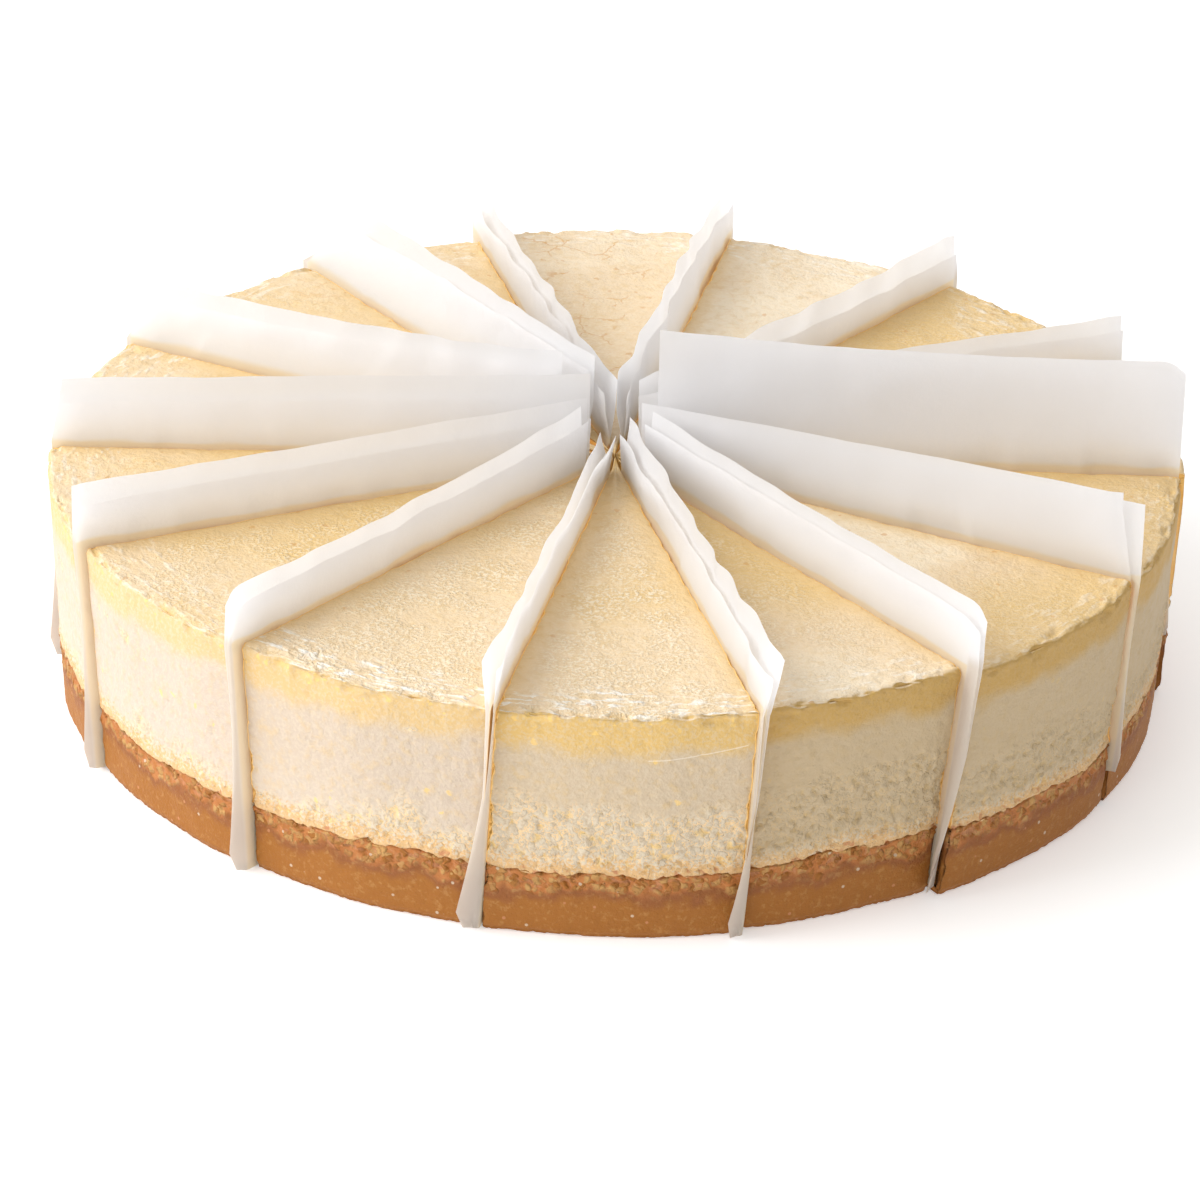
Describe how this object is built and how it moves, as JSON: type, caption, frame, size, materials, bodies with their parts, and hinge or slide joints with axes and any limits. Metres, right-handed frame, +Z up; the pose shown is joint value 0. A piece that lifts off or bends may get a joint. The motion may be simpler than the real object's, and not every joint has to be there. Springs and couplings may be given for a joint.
{
  "type": "baked cheesecake",
  "caption": "Round baked cheesecake on a crumb base, pre-cut into slices that still stand together, with a folded sheet of baking paper in every cut.",
  "frame": {"origin": "middle of the round underside, on the surface the cake rests on", "axes": "+Z up through the cake, -Y towards the front seen in the picture, +X to its right"},
  "size_m": [0.2591, 0.2565, 0.0867],
  "materials": {
    "cheese_filling": "satin, moist baked cream, yellow at the top and paler and crumbly low down",
    "crumb_base": "matt, pressed biscuit crumb",
    "baking_paper": "translucent greaseproof paper with a soft sheen"
  },
  "bodies": {
    "root": {"filling_01": "cheese_filling", "filling_02": "cheese_filling", "filling_03": "cheese_filling", "filling_04": "cheese_filling", "filling_05": "cheese_filling", "filling_06": "cheese_filling", "filling_07": "cheese_filling", "filling_08": "cheese_filling", "filling_09": "cheese_filling", "filling_10": "cheese_filling", "filling_11": "cheese_filling", "filling_12": "cheese_filling", "filling_13": "cheese_filling", "filling_14": "cheese_filling", "base_01": "crumb_base", "base_02": "crumb_base", "base_03": "crumb_base", "base_04": "crumb_base", "base_05": "crumb_base", "base_06": "crumb_base", "base_07": "crumb_base", "base_08": "crumb_base", "base_09": "crumb_base", "base_10": "crumb_base", "base_11": "crumb_base", "base_12": "crumb_base", "base_13": "crumb_base", "base_14": "crumb_base", "paper_01": "baking_paper", "paper_02": "baking_paper", "paper_03": "baking_paper", "paper_04": "baking_paper", "paper_05": "baking_paper", "paper_06": "baking_paper", "paper_07": "baking_paper", "paper_08": "baking_paper", "paper_09": "baking_paper", "paper_10": "baking_paper", "paper_11": "baking_paper", "paper_12": "baking_paper", "paper_13": "baking_paper", "paper_14": "baking_paper"}
  },
  "joints": []
}
